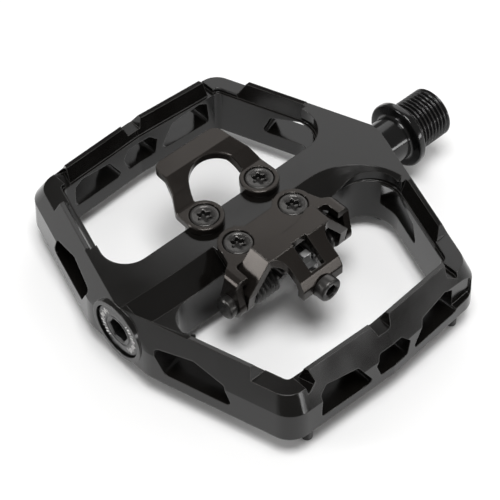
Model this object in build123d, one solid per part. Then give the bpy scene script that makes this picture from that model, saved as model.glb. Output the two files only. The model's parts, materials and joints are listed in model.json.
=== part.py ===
from build123d import *
import math
import os

# Clipless bicycle pedal for the left-hand crank. The binding for a two-bolt cleat is on the top
# side, and the underside is a flat platform with traction pins.
# Frame: origin on the spindle axis at the face of the crank-side shoulder, +X along the thread
# towards the crank, +Y towards the toe, +Z up. Millimetres.

# ---------------------------------------------------------------- driving dimensions
# Platform cage, plan view
CAGE_MID_X = -56.0          # middle of the front and rear rails
RAIL_MID_Y = 51.8           # outermost point of the front rail, at its middle
RAIL_CORNER_Y = 50.1        # the same at the corners: the rails are slightly bowed
OUTER_FACE_X = -100.4       # outer end of the barrel
OUTER_CORNER_X = -88.6
INNER_FACE_X = -9.5         # crank end of the barrel
INNER_CORNER_X = -24.6
BOSS_HALF = 11.0            # half width of the outer end, before the side rails start
INNER_BOSS_HALF = 8.8
CORNER_R = 6.5              # plan radius of the four corners at the bottom edge
CORNER_TOP_R = 5.0          # and at the crest
OUTER_END_R = 9.0
OUTER_END_TOP_R = 0.4
INNER_END_R = 5.0
INNER_END_TOP_R = 0.9

# Platform cage, heights above the spindle axis
EDGE_Z = -6.9               # outermost line, at the foot of the outer faces
KNEE_Z = 1.6                # above this the outer faces lean in more
KNEE_INSET = 0.4
UNDER_Z = -8.6              # flat underside
UNDER_INSET = 0.9
RECESS_Z = 6.3              # floor of the recesses at the four corners
DECK_Z = 9.0                # top of the barrel, where the binding plates sit
RIDGE_Z = 9.4               # crest ridge
WALL_Z = 4.4                # top edge of the inner walls of the rails
RAIL_RIDGE_INSET = 5.3      # crest ridge, measured in from the outermost line
OUTER_RIDGE_INSET = 4.2
INNER_RIDGE_INSET = 3.7
CREST_TOP = 1.1             # width of the crest's top
CREST_FALL = 0.2            # the crest's top falls inwards by this much
END_INSET = 1.2             # both ends of the barrel lean in by this much
RAIL_WALL_INSET = 8.5       # inner wall of the front and rear rails
OUTER_WALL_INSET = 8.0
INNER_WALL_INSET = 7.2
LEDGE = 0.75                # ledge between the inner wall and the foot of the crest
CREST_SIDE_END = 35.5       # the side crests run between these two distances from the axis
CREST_SIDE_START = 19.5
CREST_RAIL_END = 24.5       # the rail crests end this far from the middle of the rail
CREST_END_RUN = 1.3         # the ends of the crests slope down over this length
NOTCH_DX = -0.7             # middle of the notch in each rail, from the middle of the rail
NOTCH_HALF = 2.0            # half width of the notch floor
NOTCH_FLARE = 1.4
NOTCH_Z = 6.6

# Barrel
BARREL_HALF = 7.1           # half width of the barrel between the openings
BARREL_SPREAD_OUT = 7.0     # radius where the barrel spreads into the outer side rail
BARREL_SPREAD_IN = 9.0
SCOOP_Z = 4.3               # lower edge of the scoop beside the barrel
BOSS_R = 8.9                # round boss at the outer end
BOSS_T = 3.0
WINDOW_DEPTH = 9.5          # the side windows are cut this far in

# Spindle, 9/16 inch x 20 threads per inch
THREAD_R = 7.14
THREAD_LENGTH = 12.5
SHOULDER_R = 9.4
SHOULDER_T = 2.2
SHANK_R = 6.35
JOURNAL_R = 6.0
SHAFT_R = 4.4
BEARING_SEAT_R = 4.0
NUT_THREAD_R = 3.4
SPINDLE_HEX = 8.0
RUNNING_FIT = 0.03

# Bearings, 8 x 12 x 3.5
RACE_OUTER_R = 6.0
RACE_WIDTH = 3.5
BALL_R = 0.6
BALL_CIRCLE_R = 5.0
BALLS = 11
BEARING_ENDS = (-91.5, -87.9)   # outer face of each bearing

# End cap
CAP_R = 7.6
CAP_FACE_X = -99.9
CAP_RIM_T = 1.9
CAP_PLUG_R = 6.9
CAP_BACK_X = -96.0
CAP_HEX = 6.0

# Binding
BIND_X = -56.2              # middle of the binding
SCREW_DX = 9.4              # the screws sit this far either side of the middle
SCREW_DY = 6.25             # and this far ahead of and behind the spindle axis
SHEET = 2.2                 # thickness of the steel plates
PLATE_TOP = DECK_Z + SHEET
HEAD_R = 4.0
SCREW_R = 2.0
SCREW_TIP_Z = 3.7
LOBE_R = 5.2
EDGE_BREAK = 0.25           # broken edges of the claw
CLAW_TOP = 16.1
CLAW_FRONT = 24.6
PIVOT_Y = -14.0
PIVOT_Z = 2.0
PIN_R = 2.0
PIN_HEAD_R = 3.0
PIN_HEAD_T = 2.3
EAR_IN = 17.2               # inner face of the rear plate's ears
EAR_OUT = 19.2
EAR_R = 3.8
JAW_SHEET = 2.1
JAW_TOP = 14.6
JAW_EAR_IN = 14.8
JAW_EAR_OUT = JAW_EAR_IN + 2.0
JAW_HALF = 10.2             # half width of the jaw's flat top
TONGUE_HALF = 6.6
FLANGE_Y = -26.9            # rear face of the jaw
ADJUST_Z = 5.2              # axis of the tension adjusting screw
ADJUST_HEAD_R = 3.3
ADJUST_HEAD_T = 2.8
ADJUST_R = 2.0
ADJUST_HEX = 3.0
WIRE_R = 0.75
COIL_R = 3.2
COIL_TURNS = 6
NUT_Y = -20.6               # middle of the tension nut at rest

# Barrel bore
BORE_R = 5.2
BUSH_X = (-23.8, -13.8)
BUSH_R = 7.2
SEAL_X = (-13.2, -10.2)
SEAL_R = 7.8
WASHER_T = 0.8
NUT_X = (-95.3, -92.3)
RING_X = -97.1

# Traction pins, grub screws of one length
PIN_DX = 25.5               # corner pins, either side of the middle of the rail
PIN_DY = 47.6
INNER_PIN = (-17.2, 9.9)    # pins beside the crank end of the barrel
GRUB_R = 1.4
GRUB_TIP_Z = -13.0
GRUB_LENGTH = 8.0
GRUB_HEX = 1.5


# ---------------------------------------------------------------- helpers
def prism(points, low, high):
    """An upright prism on a plan polygon."""
    return extrude(Plane.XY.offset(low) * make_face(Polyline(*points, close=True)), high - low)


def along_x(points, x0, x1):
    """A prism along X on a (y, z) polygon."""
    return extrude(Plane.YZ.offset(x0) * make_face(Polyline(*points, close=True)), x1 - x0)


def rod(radius, x0, x1):
    """A round bar on the spindle axis."""
    return extrude(Plane.YZ.offset(x0) * Circle(radius), x1 - x0)


def tube(outer, inner, x0, x1):
    return rod(outer, x0, x1) - rod(inner, x0 - 1, x1 + 1)


def post(x, y, radius, low, high):
    """An upright round bar."""
    return extrude(Plane.XY.offset(low) * Pos(x, y) * Circle(radius), high - low)


def inset_polygon(points, insets):
    """Move each side of a counter-clockwise polygon inwards by its own distance."""
    count = len(points)
    lines = []
    for i in range(count):
        (x0, y0), (x1, y1) = points[i], points[(i + 1) % count]
        length = math.hypot(x1 - x0, y1 - y0)
        nx, ny = -(y1 - y0) / length, (x1 - x0) / length
        lines.append((nx, ny, nx * x0 + ny * y0 + insets[i]))
    moved = []
    for i in range(count):
        a0, b0, c0 = lines[i - 1]
        a1, b1, c1 = lines[i]
        det = a0 * b1 - a1 * b0
        moved.append(((c0 * b1 - c1 * b0) / det, (a0 * c1 - a1 * c0) / det))
    return moved


def rounded_face(points, radii, z):
    """A level face on a plan polygon, each corner rounded by its own radius (0 keeps it sharp)."""
    face = make_face(Polyline(*points, close=True))
    for (x, y), radius in zip(points, radii):
        if radius:
            corner = face.vertices().sort_by_distance((x, y, 0))[0]
            face = fillet(corner, radius)
    return Plane.XY.offset(z) * face


def frustum(low_points, low_radii, low, high_points, high_radii, high):
    """A solid with sloping sides between two rounded polygons of the same number of corners."""
    faces = [rounded_face(low_points, low_radii, low), rounded_face(high_points, high_radii, high)]
    return loft(faces, ruled=True)


def upright_edges(shape, x_range, y_range):
    """Vertical edges whose middle lies in a plan window."""
    found = []
    for edge in shape.edges().filter_by(Axis.Z):
        c = edge.center()
        if x_range[0] <= c.X <= x_range[1] and y_range[0] <= c.Y <= y_range[1]:
            found.append(edge)
    return ShapeList(found)


# ---------------------------------------------------------------- cage
# Outermost plan line, counter-clockwise, and the inset of each of its sides at the crest ridge
OUTLINE = [
    (OUTER_FACE_X, -BOSS_HALF),
    (OUTER_CORNER_X, -RAIL_CORNER_Y),
    (CAGE_MID_X, -RAIL_MID_Y),
    (INNER_CORNER_X, -RAIL_CORNER_Y),
    (INNER_FACE_X, -INNER_BOSS_HALF),
    (INNER_FACE_X, INNER_BOSS_HALF),
    (INNER_CORNER_X, RAIL_CORNER_Y),
    (CAGE_MID_X, RAIL_MID_Y),
    (OUTER_CORNER_X, RAIL_CORNER_Y),
    (OUTER_FACE_X, BOSS_HALF),
]
RIDGE_INSETS = [OUTER_RIDGE_INSET, RAIL_RIDGE_INSET, RAIL_RIDGE_INSET, INNER_RIDGE_INSET, END_INSET,
                INNER_RIDGE_INSET, RAIL_RIDGE_INSET, RAIL_RIDGE_INSET, OUTER_RIDGE_INSET, END_INSET]
FOOT_RADII = [OUTER_END_R, CORNER_R, 0, CORNER_R, INNER_END_R, INNER_END_R, CORNER_R, 0, CORNER_R, OUTER_END_R]
RIDGE_RADII = [OUTER_END_TOP_R, CORNER_TOP_R, 0, CORNER_TOP_R, INNER_END_TOP_R,
               INNER_END_TOP_R, CORNER_TOP_R, 0, CORNER_TOP_R, OUTER_END_TOP_R]
WALL_INSETS = [OUTER_WALL_INSET, RAIL_WALL_INSET, RAIL_WALL_INSET, INNER_WALL_INSET, INNER_WALL_INSET,
               INNER_WALL_INSET, RAIL_WALL_INSET, RAIL_WALL_INSET, OUTER_WALL_INSET, OUTER_WALL_INSET]


def opening_points(extra):
    """Plan of the front opening, grown by extra on the three rail sides."""
    wall = inset_polygon(OUTLINE, [inset - extra for inset in WALL_INSETS])
    in_corner, mid, out_corner = wall[6], wall[7], wall[8]
    slope_in = (wall[6][0] - wall[5][0]) / (wall[6][1] - wall[5][1])
    slope_out = (wall[8][0] - wall[9][0]) / (wall[8][1] - wall[9][1])
    x_in = in_corner[0] + slope_in * (BARREL_HALF - in_corner[1])
    x_out = out_corner[0] + slope_out * (BARREL_HALF - out_corner[1])
    return [(x_out, BARREL_HALF), (x_in, BARREL_HALF), in_corner, mid, out_corner]


def opening(extra, low, high, corner_r):
    """The front opening as an upright solid with rounded corners."""
    body = prism(opening_points(extra), low, high)
    rail_y = RAIL_CORNER_Y - RAIL_WALL_INSET - 4
    body = fillet(upright_edges(body, (-200, CAGE_MID_X - 10), (rail_y, 100)), corner_r)
    body = fillet(upright_edges(body, (CAGE_MID_X + 10, 100), (rail_y, 100)), corner_r + 0.6)
    body = fillet(upright_edges(body, (-200, CAGE_MID_X - 10), (0, 20)), BARREL_SPREAD_OUT)
    body = fillet(upright_edges(body, (CAGE_MID_X + 10, 100), (0, 20)), BARREL_SPREAD_IN)
    return body


def crest_cutter(p0, p1, ridge_inset, wall_inset):
    """Everything inside one crest, along the outline side p0 to p1: its top, its steep face, its foot."""
    length = math.hypot(p1[0] - p0[0], p1[1] - p0[1])
    run = Vector((p1[0] - p0[0]) / length, (p1[1] - p0[1]) / length, 0)
    inward = Vector(-run.Y, run.X, 0)
    section = Plane(origin=(p0[0], p0[1], 0), x_dir=inward, z_dir=run)
    foot = wall_inset - LEDGE
    outline = [(ridge_inset, RIDGE_Z), (ridge_inset + CREST_TOP, RIDGE_Z - CREST_FALL),
               (foot, WALL_Z + 0.5), (foot + 3, WALL_Z + 0.5), (foot + 3, RIDGE_Z + 4), (ridge_inset, RIDGE_Z + 4)]
    up = section.y_dir.Z
    flat = make_face(Polyline(*[(a, b * up) for a, b in outline], close=True))
    return extrude(section * flat, length)


def corner_gap(side):
    """What the crest leaves free round a front corner: side -1 is the outer one, 1 the crank one."""
    top = RIDGE_Z + 3
    end_x = CAGE_MID_X + side * CREST_RAIL_END
    far_x = CAGE_MID_X + side * 60
    run = CREST_END_RUN
    across = [(end_x + side * run, RECESS_Z), (far_x, RECESS_Z), (far_x, top), (end_x - side * run, top)]
    beyond_rail = Pos(0, 60, 0) * extrude(Plane.XZ * make_face(Polyline(*across, close=True)), 60)
    ahead = [(CREST_SIDE_END + run, RECESS_Z), (60, RECESS_Z), (60, top), (CREST_SIDE_END - run, top)]
    return beyond_rail & along_x(ahead, -130, 20)


def corner_columns():
    """The four corners beyond the ends of the crests, full height."""
    x0, y0 = CREST_RAIL_END + CREST_END_RUN, CREST_SIDE_END + CREST_END_RUN
    return [Pos(CAGE_MID_X + sx * (x0 + 20), sy * (y0 + 20), 0) * Box(40, 40, 60)
            for sx in (-1, 1) for sy in (-1, 1)]


def scoop():
    """The hollow behind the barrel that clears the rear jaw, on the top side."""
    edge_high = [(-99.5, -0.6), (-86, -1.2), (-62, -1.3), (-40, -0.8), (-31, -1.6), (-24.6, -5.2),
                 (-19.6, -11.2), (-18.0, -16.8)]
    edge_low = [(-96.4, -6.2), (-85, -BARREL_HALF + 0.2), (-62, -BARREL_HALF + 0.2),
                (-42, -BARREL_HALF + 0.2), (-35.5, -BARREL_HALF), (-30, -9.2), (-25.8, -13.2),
                (-24.2, -17.6)]
    faces = []
    for points, z, far in ((edge_low, SCOOP_Z, -88.5), (edge_high, DECK_Z + 0.2, -93.6)):
        curve = Spline(*points)
        tail = Polyline(points[-1], (-30, -26), (-80, -26), (far, -17.5), points[0])
        faces.append(Plane.XY.offset(z) * make_face([curve, tail]))
    return loft(faces, ruled=True)


def rail_windows():
    """Windows through the front and rear rails, and through the side rails beside the barrel."""
    end_window = [(6.6, -4.2), (11.0, 3.2), (20.5, 4.4), (23.0, 3.0), (23.6, -4.0)]
    middle_window = [(-4.4, -4.1), (-6.0, 0.6), (-4.2, 3.1), (3.2, 3.1), (5.8, 0.6), (4.8, -4.1)]
    cutters = []
    for shape in (end_window, [(-x, z) for x, z in reversed(end_window)], middle_window):
        window = extrude(Plane.XZ.offset(-60) * make_face(Polyline(*shape, close=True)), 24)
        window = Pos(CAGE_MID_X, 0, 0) * fillet(window.edges().filter_by(Axis.Y), 1.1)
        cutters += [window, window.mirror(Plane.XZ)]
    # shallow recess that carries on from the crank-side window
    recess = make_face(Polyline((17.0, 3.3), (25.5, 4.8), (29.6, 2.6), (29.9, -2.6), (17.0, -3.8), close=True))
    recess = extrude(Plane.XZ.offset(60) * recess, -11.4)
    recess = Pos(CAGE_MID_X, 0, 0) * fillet(recess.edges().filter_by(Axis.Y), 1.3)
    cutters += [recess, recess.mirror(Plane.XZ)]
    side_window = [(1.2, 3.4), (12.5, 4.7), (21.6, 2.4), (24.2, -3.6), (5.2, -3.4)]
    for corner_x, face_x, half in ((OUTER_CORNER_X, OUTER_FACE_X, BOSS_HALF),
                                   (INNER_CORNER_X, INNER_FACE_X, INNER_BOSS_HALF)):
        a, b = Vector(face_x, -half, 0), Vector(corner_x, -RAIL_CORNER_Y, 0)
        run = (b - a).normalized()
        plane = Plane(origin=a, x_dir=run, z_dir=run.cross(Vector(0, 0, 1)))
        up = plane.y_dir.Z
        slot = make_face(Polyline(*[(x, z * up) for x, z in side_window], close=True))
        slot = extrude(plane * slot, WINDOW_DEPTH, both=True)
        across = [e for e in slot.edges() if abs(e.length - 2 * WINDOW_DEPTH) < 0.01]
        slot = fillet(across, 1.2)
        cutters += [slot, slot.mirror(Plane.XZ)]
    return cutters


def build_cage():
    ridge = inset_polygon(OUTLINE, RIDGE_INSETS)
    under_points = inset_polygon(OUTLINE, [UNDER_INSET] * len(OUTLINE))
    under = frustum(under_points, FOOT_RADII, UNDER_Z, OUTLINE, FOOT_RADII, EDGE_Z)
    knee_points = inset_polygon(OUTLINE, [KNEE_INSET] * len(OUTLINE))
    band = frustum(OUTLINE, FOOT_RADII, EDGE_Z, knee_points, FOOT_RADII, KNEE_Z)
    upper = frustum(knee_points, FOOT_RADII, KNEE_Z, ridge, RIDGE_RADII, RIDGE_Z)
    keep_barrel = Pos(CAGE_MID_X, 0, 0) * Box(200, 2 * CREST_SIDE_START - 2, 60)
    for i in (0, 1, 2, 3, 5, 6, 7, 8):
        cutter = crest_cutter(OUTLINE[i], OUTLINE[(i + 1) % 10], RIDGE_INSETS[i], WALL_INSETS[i])
        for block in [keep_barrel] + corner_columns():
            cutter -= block
        upper -= cutter
    # the barrel and its spread are level
    upper -= Pos(CAGE_MID_X, 0, DECK_Z + 5) * Box(200, 2 * CREST_SIDE_START - 0.5, 10)
    # corner recesses, on all four corners
    for side in (-1, 1):
        gap = corner_gap(side)
        upper -= gap
        upper -= gap.mirror(Plane.XZ)
    # notch in the middle of each rail
    notch = [(-NOTCH_HALF, NOTCH_Z), (NOTCH_HALF, NOTCH_Z),
             (NOTCH_HALF + NOTCH_FLARE, RIDGE_Z + 1), (-NOTCH_HALF - NOTCH_FLARE, RIDGE_Z + 1)]
    notch_face = Plane.XZ * make_face(Polyline(*notch, close=True))
    for y0, y1 in ((38, 60), (-60, -38)):
        upper -= Pos(CAGE_MID_X + NOTCH_DX, y1, 0) * extrude(notch_face, y1 - y0)
    # openings above the inner walls are a ledge wider
    wide = opening(LEDGE, WALL_Z + 0.5, 20, 1.6)
    upper -= wide
    upper -= wide.mirror(Plane.XZ)
    upper -= scoop()
    cage = under + band + upper
    hole = opening(0, -20, 20, 1.2)
    cage -= hole
    cage -= hole.mirror(Plane.XZ)
    for cutter in rail_windows():
        cage -= cutter
    return cage


# ---------------------------------------------------------------- cage: barrel details
def add_boss_and_pads(cage):
    """Round end boss, screw bosses and the pads that the binding plates sit on."""
    cage += rod(BOSS_R, OUTER_FACE_X, OUTER_FACE_X + BOSS_T)
    for dx in (-SCREW_DX, SCREW_DX):
        cage += post(BIND_X + dx, SCREW_DY, LOBE_R - 0.2, 2.5, DECK_Z)
    pad = [(0, 4), (-6.4, 4), (-7.2, 6.5), (-10.6, 7.4), (-10.6, DECK_Z), (0, DECK_Z)]
    return cage + along_x(pad, BIND_X - 13.6, BIND_X + 13.6)


def bore_cage(cage):
    """Everything that is machined into the barrel, from the outer end inwards."""
    last = BEARING_ENDS[-1] + RACE_WIDTH
    cage -= rod(CAP_R + 0.1, OUTER_FACE_X - 1, CAP_FACE_X + CAP_RIM_T)
    cage -= rod(CAP_PLUG_R + 0.1, OUTER_FACE_X, BEARING_ENDS[0] - 0.4)
    cage -= rod(RACE_OUTER_R, OUTER_FACE_X, last)
    cage -= rod(BORE_R, OUTER_FACE_X, INNER_FACE_X + 1)
    cage -= rod(JOURNAL_R + 0.6, BUSH_X[0] - 4, INNER_FACE_X + 1)
    cage -= rod(BUSH_R, BUSH_X[0], INNER_FACE_X + 1)
    cage -= rod(SEAL_R, SEAL_X[0], INNER_FACE_X + 1)
    for x, y in screw_places():
        cage -= post(x, y, SCREW_R, SCREW_TIP_Z, DECK_Z + 1)
    for x, y in pin_places():
        cage -= post(x, y, GRUB_R, UNDER_Z - 1, GRUB_TIP_Z + GRUB_LENGTH)
    return cage


def screw_places():
    """The four plate screws."""
    return [(BIND_X + dx, dy) for dx in (-SCREW_DX, SCREW_DX) for dy in (SCREW_DY, -SCREW_DY)]


def pin_places():
    corners = [(CAGE_MID_X + dx, dy) for dx in (-PIN_DX, PIN_DX) for dy in (-PIN_DY, PIN_DY)]
    return corners + [(INNER_PIN[0], dy) for dy in (-INNER_PIN[1], INNER_PIN[1])]


# ---------------------------------------------------------------- spindle and its fittings
def hex_prism(across_flats, x0, x1):
    return extrude(Plane.YZ.offset(x0) * RegularPolygon(across_flats / math.sqrt(3), 6), x1 - x0)


def revolve_profile(points):
    """A turned piece from (x, radius) points of one side."""
    return revolve(Plane.XY * make_face(Polyline(*points, close=True)), Axis.X)


def build_spindle():
    end = NUT_X[0] - 0.4
    last = BEARING_ENDS[-1] + RACE_WIDTH
    profile = [(end, 0), (end, NUT_THREAD_R - 0.4), (end + 0.4, NUT_THREAD_R),
               (BEARING_ENDS[0], NUT_THREAD_R), (BEARING_ENDS[0], BEARING_SEAT_R),
               (last, BEARING_SEAT_R), (last, SHAFT_R), (BUSH_X[0] - 4, SHAFT_R),
               (BUSH_X[0] - 0.6, JOURNAL_R), (SEAL_X[0] - 0.1, JOURNAL_R), (SEAL_X[0] - 0.1, SHANK_R),
               (-SHOULDER_T - 0.9, SHANK_R), (-SHOULDER_T, SHANK_R + 0.9), (-SHOULDER_T, SHOULDER_R - 0.4),
               (-SHOULDER_T + 0.4, SHOULDER_R), (-0.5, SHOULDER_R), (0, SHOULDER_R - 0.5),
               (0, THREAD_R), (THREAD_LENGTH - 0.8, THREAD_R), (THREAD_LENGTH, THREAD_R - 0.8),
               (THREAD_LENGTH, 0)]
    body = revolve_profile(profile)
    body -= hex_prism(SPINDLE_HEX, THREAD_LENGTH - 9, THREAD_LENGTH + 1)
    return body


def build_races():
    """Inner races, outer races and balls of the two bearings."""
    inner, outer, balls = [], [], []
    groove_r = BALL_R + 0.05
    for x0 in BEARING_ENDS:
        middle = x0 + RACE_WIDTH / 2
        groove = Plane.YZ.offset(middle) * Torus(BALL_CIRCLE_R, groove_r)
        inner.append(tube(BALL_CIRCLE_R - 0.35, BEARING_SEAT_R, x0, x0 + RACE_WIDTH) - groove)
        outer.append(tube(RACE_OUTER_R, BALL_CIRCLE_R + 0.35, x0, x0 + RACE_WIDTH) - groove)
        for i in range(BALLS):
            angle = 2 * math.pi * i / BALLS
            y, z = BALL_CIRCLE_R * math.cos(angle), BALL_CIRCLE_R * math.sin(angle)
            balls.append(Pos(middle, y, z) * Sphere(BALL_R))
    return Compound(inner), Compound(outer), Compound(balls)


def build_end_cap():
    profile = [(CAP_FACE_X, 0), (CAP_FACE_X, CAP_R - 0.5), (CAP_FACE_X + 0.5, CAP_R),
               (CAP_FACE_X + CAP_RIM_T, CAP_R), (CAP_FACE_X + CAP_RIM_T, CAP_PLUG_R),
               (RING_X - 0.65, CAP_PLUG_R), (RING_X - 0.65, CAP_PLUG_R - 1.0),
               (RING_X + 0.65, CAP_PLUG_R - 1.0), (RING_X + 0.65, CAP_PLUG_R),
               (CAP_BACK_X, CAP_PLUG_R), (CAP_BACK_X, 0)]
    cap = revolve_profile(profile)
    cap -= hex_prism(CAP_HEX, CAP_FACE_X - 1, CAP_FACE_X + 3.2)
    # shallow turned groove between the hex and the rim
    cap -= tube(4.6, 4.1, CAP_FACE_X - 1, CAP_FACE_X + 0.25)
    return cap


def build_lock_nut():
    nut = hex_prism(10.0, NUT_X[0], NUT_X[1]) & rod(5.5, NUT_X[0], NUT_X[1])
    return nut - rod(NUT_THREAD_R, NUT_X[0] - 1, NUT_X[1] + 1)


# ---------------------------------------------------------------- binding
def strip(points, thickness, x0, x1, radius):
    """Bent sheet: its outer side follows (y, z) points, and bends are rounded."""
    inner = inset_line(points, thickness)
    sheet = along_x(points + inner[::-1], x0, x1)
    bends = points[1:-1] + inner[1:-1]
    edges = [e for e in sheet.edges().filter_by(Axis.X)
             if any(math.hypot(e.center().Y - y, e.center().Z - z) < 0.05 for y, z in bends)]
    return fillet(edges, radius)


def inset_line(points, thickness):
    """An open line moved sideways, to the right of its direction, with mitred corners."""
    normals = []
    for (x0, y0), (x1, y1) in zip(points, points[1:]):
        length = math.hypot(x1 - x0, y1 - y0)
        normals.append(((y1 - y0) / length, -(x1 - x0) / length))
    moved = []
    for i, (x, y) in enumerate(points):
        a = normals[max(i - 1, 0)]
        b = normals[min(i, len(normals) - 1)]
        scale = thickness / (1 + a[0] * b[0] + a[1] * b[1])
        moved.append((x + (a[0] + b[0]) * scale, y + (a[1] + b[1]) * scale))
    return moved


def countersink(plate, places):
    """Seats for the flat-head screws."""
    for x, y in places:
        plate -= post(x, y, SCREW_R, DECK_Z - 1, PLATE_TOP + 1)
        plate -= Pos(x, y, PLATE_TOP - 0.5 - 0.85) * Cone(SCREW_R, HEAD_R, 1.7)
        plate -= post(x, y, HEAD_R, PLATE_TOP - 0.51, PLATE_TOP + 1)
    return plate


def build_screws(places):
    """Flat-head screws with a six-lobe socket."""
    screws = []
    for x, y in places:
        screw = post(x, y, SCREW_R, SCREW_TIP_Z, DECK_Z)
        screw += Pos(x, y, PLATE_TOP - 0.5 - 0.85) * Cone(SCREW_R, HEAD_R, 1.7)
        screw += post(x, y, SCREW_R, DECK_Z - 0.1, PLATE_TOP - 1)
        screw += post(x, y, HEAD_R, PLATE_TOP - 0.5, PLATE_TOP - 0.15)
        socket = Circle(1.55)
        for i in range(6):
            angle = math.radians(60 * i)
            socket += Pos(1.6 * math.cos(angle), 1.6 * math.sin(angle)) * Circle(0.42)
        screw -= extrude(Plane.XY.offset(PLATE_TOP - 1.9) * Pos(x, y) * socket, 3)
        screws.append(screw)
    return Compound([s for screw in screws for s in screw.solids()])


def build_toe_claw():
    places = screw_places()[0::2]
    line = [(0.8, PLATE_TOP), (11.2, PLATE_TOP), (14.2, 14.6), (18.8, CLAW_TOP), (CLAW_FRONT, CLAW_TOP)]
    sheet = strip(line, SHEET, BIND_X - 16, BIND_X + 16, 1.1)
    half = [(14.6, SCREW_DY), (14.4, 11.5), (12.6, 14.8), (11.1, 19.0), (10.9, CLAW_FRONT)]
    outline = half + [(-x, y) for x, y in reversed(half)]
    arms = prism(outline, 0, 30)
    arms = fillet(upright_edges(arms, (-12, 12), (CLAW_FRONT - 1, 30)), 3.0)
    arms = fillet(upright_edges(arms, (-14.5, 14.5), (11, 20)), 3.0)
    arms -= post(0, 10.1, 8.3, -1, 31)
    arms -= Pos(0, 5.1, 15) * Box(16.6, 10, 40)
    arms = Pos(BIND_X, 0, 0) * arms
    for x, y in places:
        arms += post(x, y, LOBE_R, 0, 30)
    claw = sheet & arms
    claw = countersink(claw, places)
    around = [e for e in claw.edges() if e.length > 0.8
              and min(math.hypot(e.center().X - x, e.center().Y - y) for x, y in places) > HEAD_R + 0.3]
    return chamfer(around, EDGE_BREAK)


def ear_outline(top_z, half_top):
    """Side view of an ear round the pivot pin, as a face on the YZ plane at x = 0."""
    lobe = Plane.YZ * Pos(PIVOT_Y, PIVOT_Z) * Circle(EAR_R)
    neck = Plane.YZ * make_face(Polyline(
        (PIVOT_Y - EAR_R, PIVOT_Z), (PIVOT_Y + EAR_R, PIVOT_Z), (PIVOT_Y + half_top, top_z),
        (PIVOT_Y - half_top, top_z), close=True))
    return lobe + neck


def build_rear_plate():
    places = screw_places()[1::2]
    half = [(0.0, -3.4), (4.6, -3.4), (6.6, -1.4), (SCREW_DX + LOBE_R, -SCREW_DY), (15.8, -9.6),
            (EAR_OUT, -11.8), (EAR_OUT, PIVOT_Y - 2.2), (15.5, PIVOT_Y - 2.2),
            (15.5, -11.6), (0.0, -11.6)]
    outline = half + [(-x, y) for x, y in reversed(half[1:-1])]
    plate = prism(outline, DECK_Z, PLATE_TOP)
    plate = fillet(upright_edges(plate, (-15.9, 15.9), (-12, -9)), 1.2)
    plate = Pos(BIND_X, 0, 0) * plate
    for x, y in places:
        plate += post(x, y, LOBE_R, DECK_Z, PLATE_TOP)
    for side in (-1, 1):
        inner = BIND_X + side * EAR_IN
        outer = BIND_X + side * EAR_OUT
        ear = extrude(ear_outline(PLATE_TOP - 1.0, 2.0), abs(outer - inner))
        plate += Pos(min(inner, outer), 0, 0) * ear
    bends = [e for e in plate.edges().filter_by(Axis.Y)
             if abs(abs(e.center().X - BIND_X) - EAR_OUT) < 0.01
             and abs(e.center().Z - PLATE_TOP) < 0.01]
    plate = fillet(bends, 2.0)
    plate -= pivot_hole(PIN_R)
    return countersink(plate, places)


def pivot_rod(radius, x0, x1):
    """A round bar on the pivot axis, x measured from the middle of the binding."""
    return Pos(BIND_X, PIVOT_Y, PIVOT_Z) * rod(radius, x0, x1)


def pivot_hole(radius):
    return pivot_rod(radius, -40, 40)


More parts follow.
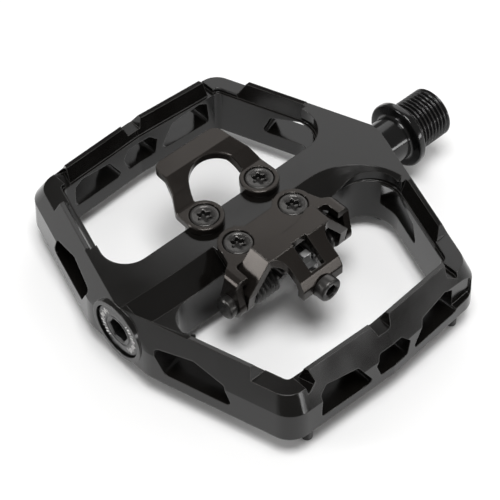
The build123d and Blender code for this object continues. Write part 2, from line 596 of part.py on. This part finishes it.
def build_jaw():
    top_line = [(-12.0, JAW_TOP), (-18.0, JAW_TOP), (-25.4, 9.6), (FLANGE_Y, 7.2), (FLANGE_Y, 1.8)]
    sheet = strip(top_line[::-1], JAW_SHEET, -JAW_HALF, JAW_HALF, 0.9)
    # plan of the sheet: full width in front, a tongue behind
    half = [(0, -11), (JAW_HALF, -11), (JAW_HALF, -18.4), (TONGUE_HALF, -18.4), (TONGUE_HALF, -40), (0, -40)]
    plan = prism(half + [(-x, y) for x, y in reversed(half[1:-1])], -20, 40)
    plan = fillet(upright_edges(plan, (-TONGUE_HALF - 0.1, TONGUE_HALF + 0.1), (-19, -18)), 3.4)
    sheet &= plan
    # the flange stops above the screw, apart from a round lug
    flange_low = Pos(0, FLANGE_Y, 1.0) * Box(40, 8, 6.8)
    lug = Plane.XZ.offset(-FLANGE_Y - 3) * Pos(0, ADJUST_Z) * Circle(ADJUST_HEAD_R + 0.1)
    sheet = sheet - (flange_low - extrude(lug, 6, both=True))
    # roof-shaped wings that end in the ears
    roof = [(-JAW_EAR_OUT, -2.2), (-JAW_EAR_OUT, 6.2), (-JAW_HALF, JAW_TOP), (JAW_HALF, JAW_TOP),
            (JAW_EAR_OUT, 6.2), (JAW_EAR_OUT, -2.2)]
    inside = inset_line(roof, JAW_SHEET)
    wing_face = Plane.XZ * make_face(Polyline(*(roof + inside[::-1]), close=True))
    wings = Pos(0, -8, 0) * extrude(wing_face, 12)
    side_view = Plane.YZ * make_face(Polyline(
        (-12.0, 20), (-11.6, 9), (PIVOT_Y + EAR_R, 5.5), (PIVOT_Y + EAR_R, PIVOT_Z),
        (PIVOT_Y - EAR_R, PIVOT_Z), (-18.4, 6), (-18.4, 20), close=True))
    side_view += Plane.YZ * Pos(PIVOT_Y, PIVOT_Z) * Circle(EAR_R)
    wings &= extrude(side_view, 30, both=True)
    bends = [e for e in wings.edges().filter_by(Axis.Y)
             if min(abs(abs(e.center().X) - x) for x in (JAW_HALF, JAW_EAR_OUT)) < 0.02]
    wings = fillet(bends, 0.9)
    jaw = sheet + wings
    # concave lip that holds the cleat
    jaw -= post(0, -13.7 + 18.2, 18.2, JAW_TOP - JAW_SHEET - 2.4, JAW_TOP + 1)
    # window over the tension nut
    jaw -= Pos(0, -21.2, 12) * Box(4.8, 7.2, 12)
    jaw = Pos(BIND_X, 0, 0) * jaw
    jaw -= pivot_hole(PIN_R + 0.05)
    jaw -= adjust_rod(ADJUST_R + 0.05, FLANGE_Y - 5, FLANGE_Y + 5)
    return jaw


def adjust_rod(radius, y0, y1):
    """A round bar on the axis of the adjusting screw."""
    face = Plane.XZ.offset(-y1) * Pos(BIND_X, ADJUST_Z) * Circle(radius)
    return extrude(face, y1 - y0)


def build_adjuster():
    back = FLANGE_Y - ADJUST_HEAD_T
    screw = adjust_rod(ADJUST_HEAD_R, back, FLANGE_Y - 0.05)
    screw = chamfer(screw.edges().sort_by(Axis.Y)[0], 0.4)
    screw += adjust_rod(ADJUST_R, FLANGE_Y - 0.5, -17.4)
    socket = Plane.XZ.offset(-back - 1.9) * Pos(BIND_X, ADJUST_Z)
    return screw - extrude(socket * RegularPolygon(ADJUST_HEX / math.sqrt(3), 6), 5)


def build_tension_nut():
    nut = Pos(BIND_X, NUT_Y, ADJUST_Z) * Box(4.4, 4.0, 6.2)
    nut = fillet(nut.edges().filter_by(Axis.Y), 0.6)
    nut += Pos(BIND_X, NUT_Y + 0.4, ADJUST_Z + 4.4) * Box(2.4, 1.8, 3.4)
    return nut - adjust_rod(ADJUST_R + 0.03, NUT_Y - 5, NUT_Y + 5)


def build_jaw_pin():
    reach = EAR_OUT
    pin = pivot_rod(PIN_R, -reach - 0.5, reach + 1.5)
    head = pivot_rod(PIN_HEAD_R, -reach - PIN_HEAD_T, -reach)
    head = chamfer(head.edges().sort_by(Axis.X)[0], 0.4)
    pin += head
    pin -= pivot_rod(4, reach + 0.05, reach + 0.8) - pivot_rod(PIN_R - 0.35, reach - 1, reach + 2)
    return pin


def build_pin_clip():
    reach = EAR_OUT
    ring = pivot_rod(3.1, reach + 0.1, reach + 0.75) - pivot_rod(PIN_R - 0.32, reach - 1, reach + 2)
    return ring - Pos(BIND_X + reach, PIVOT_Y - 3, PIVOT_Z) * Box(6, 4, 1.9)


def build_springs():
    """Two close-wound torsion coils on the pivot pin, with their straight legs."""
    springs = []
    length = COIL_TURNS * 2 * WIRE_R
    for side in (-1, 1):
        start = 4.7
        coil = pivot_rod(COIL_R + 0.35, start + 0.2, start + length - 0.2)
        coil -= pivot_rod(COIL_R - 0.35, 0, 30)
        for i in range(COIL_TURNS):
            middle = start + WIRE_R * (2 * i + 1)
            coil += Pos(BIND_X + middle, PIVOT_Y, PIVOT_Z) * (Plane.YZ * Torus(COIL_R, WIRE_R * 1.02))
        outer_leg = Pos(BIND_X + start + length - WIRE_R, PIVOT_Y, PIVOT_Z + COIL_R)
        inner_leg = Pos(BIND_X + start + WIRE_R, PIVOT_Y, PIVOT_Z + COIL_R)
        coil += outer_leg * Rot(-90, 0, 0) * Cylinder(WIRE_R, 5.2, align=(Align.CENTER, Align.CENTER, Align.MIN))
        coil += inner_leg * Rot(90, 0, 0) * Cylinder(WIRE_R, 4.6, align=(Align.CENTER, Align.CENTER, Align.MIN))
        if side < 0:
            coil = coil.mirror(Plane.YZ.offset(BIND_X))
        springs.append(coil)
    return Compound([s for coil in springs for s in coil.solids()])


def build_traction_pins():
    pins = []
    for x, y in pin_places():
        pin = post(x, y, GRUB_R, GRUB_TIP_Z, GRUB_TIP_Z + GRUB_LENGTH)
        pin = fillet(pin.edges().sort_by(Axis.Z)[0], 0.3)
        hexagon = Pos(x, y) * RegularPolygon(GRUB_HEX / math.sqrt(3), 6)
        pin -= extrude(Plane.XY.offset(GRUB_TIP_Z - 1) * hexagon, 2.4)
        pins.append(pin)
    return Compound([s for pin in pins for s in pin.solids()])


# ---------------------------------------------------------------- assembly
def build_all():
    races = build_races()
    return {
        "spindle": build_spindle(),
        "cage": bore_cage(add_boss_and_pads(build_cage())),
        "end_cap": build_end_cap(),
        "cap_o_ring": Plane.YZ.offset(RING_X) * Torus(CAP_PLUG_R - 0.46, 0.54),
        "bearing_inner_races": races[0],
        "bearing_outer_races": races[1],
        "bearing_balls": races[2],
        "spindle_washer": tube(5.2, NUT_THREAD_R + 0.1, BEARING_ENDS[0] - WASHER_T, BEARING_ENDS[0]),
        "spindle_lock_nut": build_lock_nut(),
        "inboard_bush": tube(BUSH_R, JOURNAL_R + RUNNING_FIT, *BUSH_X),
        "inboard_seal": tube(SEAL_R, SHANK_R + RUNNING_FIT, *SEAL_X),
        "traction_pins": build_traction_pins(),
        "toe_claw": build_toe_claw(),
        "toe_claw_screws": build_screws(screw_places()[0::2]),
        "rear_plate": build_rear_plate(),
        "rear_plate_screws": build_screws(screw_places()[1::2]),
        "jaw": build_jaw(),
        "jaw_pin": build_jaw_pin(),
        "pin_clip": build_pin_clip(),
        "springs": build_springs(),
        "adjuster_screw": build_adjuster(),
        "tension_nut": build_tension_nut(),
    }


os.makedirs("parts", exist_ok=True)
for name, shape in build_all().items():
    export_step(shape, "parts/" + name + ".step")
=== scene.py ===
import json
import math

import bmesh
import bpy
from mathutils import Matrix, Vector


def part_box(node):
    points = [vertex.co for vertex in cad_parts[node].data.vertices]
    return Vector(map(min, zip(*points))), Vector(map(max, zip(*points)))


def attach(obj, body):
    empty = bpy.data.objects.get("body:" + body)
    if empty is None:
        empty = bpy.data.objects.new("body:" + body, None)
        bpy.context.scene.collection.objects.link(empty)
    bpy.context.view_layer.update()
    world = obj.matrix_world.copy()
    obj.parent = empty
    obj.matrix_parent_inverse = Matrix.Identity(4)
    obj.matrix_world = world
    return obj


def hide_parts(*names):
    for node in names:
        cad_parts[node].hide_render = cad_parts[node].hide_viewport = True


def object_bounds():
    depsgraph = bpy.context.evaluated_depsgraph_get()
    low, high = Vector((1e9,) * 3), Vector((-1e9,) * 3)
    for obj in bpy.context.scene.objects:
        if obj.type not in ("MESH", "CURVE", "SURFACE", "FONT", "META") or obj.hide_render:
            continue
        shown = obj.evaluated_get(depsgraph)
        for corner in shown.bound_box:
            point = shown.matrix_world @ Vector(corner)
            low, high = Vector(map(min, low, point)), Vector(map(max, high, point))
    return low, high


# The looks of a clipless pedal around its CAD frame. Metres; X towards the crank, Y to the toe, Z up.
# Each piece is worked out in millimetres on the same axes and scaled as its mesh is made.
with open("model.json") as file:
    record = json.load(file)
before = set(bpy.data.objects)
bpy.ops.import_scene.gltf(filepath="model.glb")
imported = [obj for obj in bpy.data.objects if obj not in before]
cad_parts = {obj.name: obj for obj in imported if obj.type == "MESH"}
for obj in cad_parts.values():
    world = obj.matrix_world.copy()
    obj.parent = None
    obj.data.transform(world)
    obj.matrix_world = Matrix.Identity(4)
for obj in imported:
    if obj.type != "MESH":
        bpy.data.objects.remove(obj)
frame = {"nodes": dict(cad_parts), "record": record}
cad_box = [list(corner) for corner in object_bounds()]
MM = 0.001
NODES = frame["nodes"]
COLUMNS = 96                # points round a turned piece
ARC_STEPS = 5               # facets in a quarter turn of a rounded rim
CLOUD_SCALE = 70.0          # noise scale of blotches about 14 mm across
GRAIN_SCALE = 900.0         # noise scale of a grain about 1 mm across
GRAIN_HEIGHT = 0.05 * MM
EDGE_WEAR_AND_HIGHLIGHT_REACH = 0.35 * MM       # reach from an edge of the lighter edge colour, partly wear and partly a painted edge highlight, and the radius of the rounded shading
CAP_FACE = -99.9            # outer face of the end cap


# ---------------------------------------------------------------- camera, light and floor
def make_camera():
    """A long lens above the heel and the outer end of the pedal."""
    azimuth, elevation, roll = (math.radians(a) for a in (-42.312, 48.982, -0.679))
    target = Vector((-58.651, -2.949, 0)) * MM
    distance = 410.044 * MM
    back = Vector((math.sin(azimuth) * math.cos(elevation), -math.cos(azimuth) * math.cos(elevation),
                   math.sin(elevation)))
    level = Vector((math.cos(azimuth), math.sin(azimuth), 0))
    above = back.cross(level)
    right = math.cos(roll) * level + math.sin(roll) * above
    up = back.cross(right)
    data = bpy.data.cameras.new("camera")
    data.lens = 115.96
    data.sensor_width = 36
    camera = bpy.data.objects.new("camera", data)
    camera.matrix_world = Matrix.Translation(target + back * distance) @ \
        Matrix((right, up, back)).transposed().to_4x4()
    bpy.context.scene.collection.objects.link(camera)
    bpy.context.scene.camera = camera


def softbox(name, direction, distance, size, radiance):
    """An even area light that faces the platform. Its distance and size are in metres."""
    target = Vector((-52, 0, 0)) * MM
    data = bpy.data.lights.new(name, "AREA")
    data.shape = "RECTANGLE"
    data.size, data.size_y = size
    data.energy = radiance * math.pi * size[0] * size[1]
    light = bpy.data.objects.new(name, data)
    aim = Vector(direction).normalized()
    light.location = target + aim * distance
    light.rotation_euler = aim.to_track_quat("Z", "Y").to_euler()
    bpy.context.scene.collection.objects.link(light)


def make_studio():
    scene = bpy.context.scene
    scene.view_settings.view_transform = "Standard"
    world = bpy.data.worlds.new("studio")
    scene.world = world
    world.use_nodes = True
    shade = world.node_tree.nodes["Background"]
    shade.inputs["Color"].default_value = (1.0, 0.985, 0.97, 1)
    shade.inputs["Strength"].default_value = 0.22
    softbox("overhead", (-0.10, -0.16, 1.0), 0.9, (0.42, 0.42), 12.0)
    softbox("crank_side", (0.75, 0.41, 0.52), 0.62, (0.5, 0.5), 1.5)
    softbox("edge_strip", (-0.85, 0.485, 0.26), 0.5, (0.08, 0.3), 10.0)
    softbox("heel_strip", (0.35, -0.9, 0.16), 0.7, (0.5, 0.10), 9.0)


def make_floor():
    """A pale square under the lowest point of the pedal."""
    reach, lowest = 4.0, cad_box[0][2]
    corners = [(-reach, -reach), (reach, -reach), (reach, reach), (-reach, reach)]
    mesh = bpy.data.meshes.new("floor")
    mesh.from_pydata([(x, y, lowest) for x, y in corners], [], [(0, 1, 2, 3)])
    floor = bpy.data.objects.new("floor", mesh)
    bpy.context.scene.collection.objects.link(floor)
    material = bpy.data.materials.new("pale_floor")
    material.use_nodes = True
    shader = material.node_tree.nodes["Principled BSDF"]
    shader.inputs["Base Color"].default_value = (0.93, 0.93, 0.93, 1)
    shader.inputs["Roughness"].default_value = 0.9
    shader.inputs["Specular IOR Level"].default_value = 0.1
    mesh.materials.append(material)


# ---------------------------------------------------------------- materials
def surface(name, base, wear_and_highlight_colour, metallic=0.0, roughness=0.3, spread=0.08, bump=0.05, edge=0.35, specular=0.5):
    """A finish with cloudy colour, uneven roughness, a fine grain, and a lighter colour along its edges that
    is partly wear and partly a painted highlight.
    """
    material = bpy.data.materials.new(name)
    material.use_nodes = True
    tree = material.node_tree
    nodes, links = tree.nodes, tree.links
    shader = nodes["Principled BSDF"]
    shader.inputs["Metallic"].default_value = metallic
    shader.inputs["Specular IOR Level"].default_value = specular
    place = nodes.new("ShaderNodeTexCoord")

    def noise(scale, detail):
        node = nodes.new("ShaderNodeTexNoise")
        node.inputs["Scale"].default_value = scale
        node.inputs["Detail"].default_value = detail
        links.new(place.outputs["Object"], node.inputs["Vector"])
        return node.outputs["Fac"]

    def remap(value, low, high, to_low, to_high):
        node = nodes.new("ShaderNodeMapRange")
        node.inputs["From Min"].default_value = low
        node.inputs["From Max"].default_value = high
        node.inputs["To Min"].default_value = to_low
        node.inputs["To Max"].default_value = to_high
        links.new(value, node.inputs["Value"])
        return node.outputs["Result"]

    clouds = noise(CLOUD_SCALE, 4.0)
    fine = noise(GRAIN_SCALE, 3.0)
    # the edges are where a rounded normal leaves the true one; their lighter colour is partly wear and partly
    # a painted edge highlight, and the clouds make it patchy
    rounded = nodes.new("ShaderNodeBevel")
    rounded.samples = 4
    rounded.inputs["Radius"].default_value = EDGE_WEAR_AND_HIGHLIGHT_REACH
    geometry = nodes.new("ShaderNodeNewGeometry")
    agree = nodes.new("ShaderNodeVectorMath")
    agree.operation = "DOT_PRODUCT"
    links.new(rounded.outputs["Normal"], agree.inputs[0])
    links.new(geometry.outputs["Normal"], agree.inputs[1])
    edges = remap(agree.outputs["Value"], 0.985, 0.80, 0.0, edge)
    patchy = nodes.new("ShaderNodeMath")
    patchy.operation = "MULTIPLY"
    links.new(edges, patchy.inputs[0])
    links.new(remap(clouds, 0.35, 0.65, 0.25, 1.0), patchy.inputs[1])
    tint = nodes.new("ShaderNodeMix")
    tint.data_type = "RGBA"
    for socket, share in (("A", 0.75), ("B", 1.25)):
        tint.inputs[socket].default_value = (*[c * share for c in base], 1)
    links.new(clouds, tint.inputs["Factor"])
    # mixes in the lighter edge colour: partly wear, partly a painted edge highlight
    wear_and_highlight = nodes.new("ShaderNodeMix")
    wear_and_highlight.data_type = "RGBA"
    wear_and_highlight.inputs["B"].default_value = (*wear_and_highlight_colour, 1)
    links.new(tint.outputs["Result"], wear_and_highlight.inputs["A"])
    links.new(patchy.outputs["Value"], wear_and_highlight.inputs["Factor"])
    links.new(wear_and_highlight.outputs["Result"], shader.inputs["Base Color"])
    links.new(remap(clouds, 0.3, 0.7, roughness - spread, roughness + spread), shader.inputs["Roughness"])
    relief = nodes.new("ShaderNodeBump")
    relief.inputs["Strength"].default_value = bump
    relief.inputs["Distance"].default_value = GRAIN_HEIGHT
    links.new(fine, relief.inputs["Height"])
    links.new(rounded.outputs["Normal"], relief.inputs["Normal"])
    links.new(relief.outputs["Normal"], shader.inputs["Normal"])
    return material


def make_materials():
    # grey is the lighter edge colour: partly wear and partly a painted edge highlight, with the share set by
    # edge
    grey = (0.30, 0.29, 0.28)
    return {
        "cage_anodised": surface("black_anodised", (0.004, 0.0036, 0.0032), grey, roughness=0.16,
                                 spread=0.05, edge=0.34, specular=0.40, bump=0.07),
        "cap_anodised": surface("cap_black_anodised", (0.012, 0.012, 0.012), grey, roughness=0.24, bump=0.06),
        "spindle_black": surface("black_oxide_steel", (0.005, 0.005, 0.005), grey, roughness=0.15,
                                 spread=0.05, edge=0.2, bump=0.04, specular=0.45),
        "plate_black": surface("black_plated_sheet", (0.030, 0.026, 0.023), (0.3, 0.29, 0.27), metallic=0.7,
                               roughness=0.20, spread=0.06, bump=0.08),
        "screw_black": surface("black_zinc", (0.06, 0.058, 0.056), grey, metallic=0.8, roughness=0.28,
                               edge=0.5),
        "pin_black": surface("black_oxide_pin", (0.03, 0.03, 0.03), grey, metallic=0.5),
        "spring_black": surface("coated_wire", (0.03, 0.029, 0.028), grey, metallic=0.4, roughness=0.25,
                                edge=0.1),
        "bearing_steel": surface("bearing_steel", (0.55, 0.55, 0.56), (0.7, 0.7, 0.7), metallic=1.0,
                                 roughness=0.14, spread=0.04),
        "nut_steel": surface("zinc_steel", (0.32, 0.32, 0.32), (0.6, 0.6, 0.6), metallic=1.0, roughness=0.32),
        "rubber_black": surface("nitrile_rubber", (0.018, 0.018, 0.018), (0.03, 0.03, 0.03), roughness=0.7,
                                bump=0.2, edge=0.1),
        "bush_polymer": surface("bearing_polymer", (0.05, 0.05, 0.048), (0.1, 0.1, 0.1), roughness=0.5),
        "etching": surface("laser_etching", (0.62, 0.61, 0.6), (0.8, 0.8, 0.8), roughness=0.6, bump=0.3),
    }


# ---------------------------------------------------------------- mesh helpers
def add_piece(name, verts, faces, body, slot, replaced=(), smooth_angle=30, finish=None):
    """A mesh piece that rides on a body. It wears the finish of its slot, unless another one is named."""
    mesh = bpy.data.meshes.new(name)
    mesh.from_pydata([Vector(v) * MM for v in verts], [], faces)
    shape = bmesh.new()
    shape.from_mesh(mesh)
    bmesh.ops.recalc_face_normals(shape, faces=shape.faces)
    for face in shape.faces:
        face.smooth = True
    shape.to_mesh(mesh)
    shape.free()
    mesh.set_sharp_from_angle(angle=math.radians(smooth_angle))
    mesh.materials.append(MATERIALS[finish or slot])
    piece = bpy.data.objects.new(name, mesh)
    bpy.context.scene.collection.objects.link(piece)
    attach(piece, body)
    if replaced:
        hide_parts(*replaced)


def turned(rows, place, verts, faces):
    """Add the closed skin through rows of (along, radii). place(along, u, v) gives a point."""
    first = len(verts)
    for along, radii in rows:
        for i in range(COLUMNS):
            angle = 2 * math.pi * i / COLUMNS
            verts.append(place(along, radii[i] * math.cos(angle), radii[i] * math.sin(angle)))
    for r in range(len(rows) - 1):
        for i in range(COLUMNS):
            j = (i + 1) % COLUMNS
            a, b = first + r * COLUMNS, first + (r + 1) * COLUMNS
            faces.append((a + i, a + j, b + j, b + i))
    last = first + (len(rows) - 1) * COLUMNS
    faces.append(tuple(first + i for i in range(COLUMNS)))
    faces.append(tuple(last + i for i in reversed(range(COLUMNS))))


def on_spindle(along, u, v):
    """A place along the spindle's axis, for turned."""
    return (along, u, v)


def upright(x, y):
    """Places round a line along Z, for turned."""
    return lambda along, u, v: (x + u, y + v, along)


def ring(radius):
    return [radius] * COLUMNS


def rim_rows(along, radius, size, first):
    """Rows round a quarter of a rim's edge, from an angle: -90 starts on the lower face, 0 on the side."""
    rows = []
    for k in range(ARC_STEPS + 1):
        turn = math.radians(first + 90 * k / ARC_STEPS)
        rows.append((along + size * math.sin(turn), ring(radius + size * math.cos(turn))))
    return rows


def hexagon(across):
    """Radii of a hexagonal socket, with its corners just eased."""
    eased = 0.985
    radii = []
    for i in range(COLUMNS):
        angle = (2 * math.pi * i / COLUMNS) % (math.pi / 3) - math.pi / 6
        radii.append(min(across / 2 / math.cos(angle), across / math.sqrt(3) * eased))
    return radii


def six_lobes(radius):
    """Radii of a six-lobed socket about a mean radius."""
    lobe = 0.3
    return [radius + lobe * math.cos(6 * 2 * math.pi * i / COLUMNS) for i in range(COLUMNS)]


def thread_rows(start, end, major, depth, pitch, hand):
    """Rows of a helical thread between two stations, fading out at both ends."""
    per_turn = 12
    crest, slope = 0.12, 0.72   # shares of half a pitch, and the root takes the rest
    steps = max(8, round(abs(end - start) / pitch * per_turn))
    rows = []
    for k in range(steps + 1):
        along = start + (end - start) * k / steps
        fade = min(1.0, abs(along - start) / pitch, abs(end - along) / pitch)
        radii = []
        for i in range(COLUMNS):
            phase = (along / pitch + hand * i / COLUMNS) % 1.0
            flank = min(1.0, max(0.0, (abs(2 * phase - 1) - crest) / slope))
            radii.append(major - depth * fade * flank)
        rows.append((along, radii))
    return rows


# ---------------------------------------------------------------- spindle
def make_spindle():
    # stations along the axis, from the nut's end to the crank, and the radii between them
    tail, race, race_end, taper, journal, shank, shoulder = -95.7, -91.5, -84.4, -27.8, -24.4, -13.3, -2.2
    nut_r, race_r, shaft_r, journal_r, shank_r, shoulder_r, thread_r = 3.4, 4.0, 4.4, 6.0, 6.35, 9.4, 7.14
    length, pitch, depth, socket = 12.5, 25.4 / 20, 0.78, hexagon(8.0)
    step = 0.01                 # length of a square change of radius
    rows = [(tail, ring(nut_r - 0.4)), (tail + 0.4, ring(nut_r)), (race, ring(nut_r)),
            (race + step, ring(race_r)), (race_end, ring(race_r)), (race_end + step, ring(shaft_r)),
            (taper, ring(shaft_r)), (journal, ring(journal_r)), (shank, ring(journal_r)),
            (shank + step, ring(shank_r))]
    # a fillet at the foot of the shoulder, and a rounded edge on both sides of it
    foot, foot_steps = 0.9, 6
    for k in range(foot_steps + 1):
        turn = math.radians(90 * k / foot_steps)
        rows.append((shoulder - foot * (1 - math.sin(turn)), ring(shank_r + foot * (1 - math.cos(turn)))))
    rim = 0.55
    rows += rim_rows(shoulder + rim, shoulder_r - rim, rim, -90)
    rows += rim_rows(-rim, shoulder_r - rim, rim, 0)
    # relief groove, thread, and the end with its socket
    relief = ring(thread_r - 0.55)
    rows += [(0, ring(thread_r + 0.4)), (0.05, relief), (0.9, relief), (0.95, ring(thread_r - 0.1))]
    rows += thread_rows(1.0, length - 0.75, thread_r, depth, pitch, 1)
    rows += [(length - 0.05, ring(thread_r - 0.85)), (length, ring(thread_r - 0.95)), (length, ring(5.0)),
             (length - 0.35, socket), (length - 8.8, socket), (length - 10.6, ring(0.4))]
    verts, faces = [], []
    turned(rows, on_spindle, verts, faces)
    add_piece("threaded_spindle", verts, faces, "spindle_side", "spindle_black", ["spindle"])


# ---------------------------------------------------------------- end cap
def make_end_cap():
    under_rim, groove, groove_end, back = -98.0, -97.75, -96.45, -96.0
    radius, rim, plug, seat, socket = 7.6, 0.5, ring(6.9), ring(5.9), hexagon(6.0)
    # socket, a fine ring groove round it, the face and its rim, then the plug with the O-ring's groove
    rows = [(CAP_FACE + 3.1, ring(0.6)), (CAP_FACE + 3.0, socket), (CAP_FACE + 0.3, socket),
            (CAP_FACE, ring(3.75)), (CAP_FACE, ring(4.1)), (CAP_FACE + 0.22, ring(4.25)),
            (CAP_FACE + 0.22, ring(4.5)), (CAP_FACE, ring(4.65))]
    rows += rim_rows(CAP_FACE + rim, radius - rim, rim, -90)
    rows += [(under_rim, ring(radius)), (under_rim, plug), (groove, plug), (groove, seat),
             (groove_end, seat), (groove_end, plug), (back, plug), (back, ring(0.5))]
    verts, faces = [], []
    turned(rows, on_spindle, verts, faces)
    add_piece("end_cap_turned", verts, faces, "platform", "cap_anodised", ["end_cap"])


def make_cap_marks():
    """Two arcs of plain etched dashes round the socket, each dash a thin block."""
    inner, outer, proud, apart = 5.05, 6.55, 0.012, 8.6
    quads = [(0, 1, 2, 3), (7, 6, 5, 4), (0, 4, 5, 1), (1, 5, 6, 2), (2, 6, 7, 3), (3, 7, 4, 0)]
    verts, faces = [], []
    for middle in (0, 180):
        for k in range(-6, 7):
            angle = math.radians(middle + apart * k)
            half = math.radians(2.6 if k % 3 else 1.2)
            near, far = inner + 0.3 * (k % 2), outer - 0.35 * ((k + 1) % 2)
            corners = [(near, angle - half), (far, angle - half), (far, angle + half), (near, angle + half)]
            start = len(verts)
            verts += [(x, r * math.cos(a), r * math.sin(a))
                      for x in (CAP_FACE - proud, CAP_FACE + proud) for r, a in corners]
            faces += [tuple(start + i for i in quad) for quad in quads]
    add_piece("end_cap_marks", verts, faces, "platform", "cap_anodised", finish="etching")


# ---------------------------------------------------------------- plate screws
def make_plate_screws():
    tip, under_head, head_edge, top = 3.7, 9.0, 10.5, 11.05
    shank_r, head_r, rim = 2.0, 3.72, 0.28
    inset = 4.0                 # from each end of the pair's box to a screw's axis
    rows = [(tip, ring(shank_r - 0.4)), (tip + 0.4, ring(shank_r)), (under_head - 0.05, ring(shank_r)),
            (under_head, ring(shank_r + 0.05)), (head_edge, ring(head_r + 0.03))]
    rows += rim_rows(top - rim, head_r - rim, rim, 0)
    # a shallow dish in the head, and the socket in it
    rows += [(top, ring(2.95)), (top - 0.1, ring(2.85)), (top - 0.1, ring(2.35)),
             (top - 0.3, six_lobes(1.72)), (top - 1.8, six_lobes(1.66)), (top - 2.0, ring(0.3))]
    for name, node in (("toe_claw_screw", "toe_claw_screws"), ("rear_plate_screw", "rear_plate_screws")):
        low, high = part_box(node)
        y = (low.y + high.y) / 2 / MM
        for side, x in (("outer", low.x / MM + inset), ("crank", high.x / MM - inset)):
            verts, faces = [], []
            turned(rows, upright(x, y), verts, faces)
            add_piece(name + "_" + side, verts, faces, "platform", "screw_black", [node])


# ---------------------------------------------------------------- springs
def swept_wire(path, radius, verts, faces):
    """A round wire along a path of points, with a frame carried from point to point."""
    sides = 14
    start = len(verts)
    side = Vector((0.3, 0.9, 0.2))
    for k, point in enumerate(path):
        along = (path[min(k + 1, len(path) - 1)] - path[max(k - 1, 0)]).normalized()
        side = (side - along * side.dot(along)).normalized()
        other = along.cross(side)
        for i in range(sides):
            angle = 2 * math.pi * i / sides
            verts.append(point + radius * (math.cos(angle) * side + math.sin(angle) * other))
    for k in range(len(path) - 1):
        for i in range(sides):
            j = (i + 1) % sides
            a, b = start + k * sides, start + (k + 1) * sides
            faces.append((a + i, a + j, b + j, b + i))
    faces.append(tuple(start + i for i in reversed(range(sides))))
    faces.append(tuple(start + (len(path) - 1) * sides + i for i in range(sides)))


def make_springs():
    """Two wound torsion springs on the jaw pin, each with a leg from its inner end and one from its outer."""
    wire, coil, turns, per_turn = 0.75, 3.2, 6, 28
    middle_x, pivot_y, pivot_z = -56.2, -14.0, 2.0
    inner, inner_leg, outer_leg, leg_steps = 4.7 + wire, 4.4, 5.2, 4
    steps = per_turn * (turns - 1)
    verts, faces = [], []
    for side in (-1, 1):
        path = [Vector((middle_x + side * inner, pivot_y - inner_leg * (1 - k / leg_steps), pivot_z + coil))
                for k in range(leg_steps)]
        for k in range(steps + 1):
            angle = math.radians(90) - 2 * math.pi * k / per_turn
            x = middle_x + side * (inner + (turns - 1) * 2 * wire * k / steps)
            path.append(Vector((x, pivot_y + coil * math.cos(angle), pivot_z + coil * math.sin(angle))))
        end = path[-1]
        path += [end + Vector((0, outer_leg * k / leg_steps, 0)) for k in range(1, leg_steps + 1)]
        swept_wire(path, wire, verts, faces)
    add_piece("wound_springs", verts, faces, "platform", "spring_black", ["springs"], 60)


# ---------------------------------------------------------------- tension screw
def make_adjuster():
    low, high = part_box("adjuster_screw")
    x, z = (low.x + high.x) / 2 / MM, (low.z + high.z) / 2 / MM
    back, front = low.y / MM, high.y / MM
    head_r, head_t, rim, shank_r, depth, pitch = 3.3, 2.75, 0.45, 2.0, 0.32, 0.7
    socket = hexagon(3.0)
    rows = [(back + 1.9, ring(0.3)), (back + 1.8, socket), (back + 0.2, socket), (back, ring(1.95))]
    rows += rim_rows(back + rim, head_r - rim, rim, -90)
    rows += [(back + head_t, ring(head_r)), (back + head_t + 0.01, ring(shank_r)),
             (back + 4.2, ring(shank_r))]
    rows += thread_rows(back + 4.3, front - 0.3, shank_r, depth, pitch, -1)
    rows += [(front, ring(1.55))]
    verts, faces = [], []
    turned(rows, lambda along, u, v: (x + u, along, z + v), verts, faces)
    add_piece("threaded_adjuster", verts, faces, "adjuster", "screw_black", ["adjuster_screw"])


# ---------------------------------------------------------------- traction pins
def pin_places():
    """The (x, y) of every pin, from the separate islands of the CAD mesh."""
    weld = 1e-6
    shape = bmesh.new()
    shape.from_mesh(NODES["traction_pins"].data)
    bmesh.ops.remove_doubles(shape, verts=shape.verts, dist=weld)
    places, seen = [], set()
    for vert in shape.verts:
        if vert.index in seen:
            continue
        stack, island = [vert], []
        seen.add(vert.index)
        while stack:
            reached = stack.pop()
            island.append(reached.co)
            for edge in reached.link_edges:
                other = edge.other_vert(reached)
                if other.index not in seen:
                    seen.add(other.index)
                    stack.append(other)
        xs, ys = [co.x for co in island], [co.y for co in island]
        places.append(((min(xs) + max(xs)) / 2 / MM, (min(ys) + max(ys)) / 2 / MM))
    shape.free()
    return sorted(places)


def make_pins():
    low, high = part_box("traction_pins")
    tip, top = low.z / MM, high.z / MM
    radius, depth, pitch, socket = 1.4, 0.22, 0.6, hexagon(1.5)
    rows = [(tip + 1.5, ring(0.2)), (tip + 1.4, socket), (tip + 0.1, socket), (tip, ring(1.0)),
            (tip + 0.02, ring(1.15)), (tip + 0.2, ring(radius - 0.1))]
    rows += thread_rows(tip + 0.3, top - 0.2, radius, depth, pitch, 1)
    rows += [(top, ring(radius - 0.2))]
    verts, faces = [], []
    for x, y in pin_places():
        turned(rows, upright(x, y), verts, faces)
    add_piece("threaded_pins", verts, faces, "platform", "pin_black", ["traction_pins"])


# ---------------------------------------------------------------- assembly
def finish_cad_nodes():
    """The CAD meshes wear their slots' finishes, whether or not a piece replaces them."""
    for subpart in frame["record"]["subparts"]:
        data = NODES[subpart["node"]].data
        data.materials.clear()
        data.materials.append(MATERIALS[subpart["material_slot"]])


MATERIALS = make_materials()
make_camera()
make_studio()
make_floor()
finish_cad_nodes()
make_spindle()
make_end_cap()
make_cap_marks()
make_plate_screws()
make_springs()
make_adjuster()
make_pins()
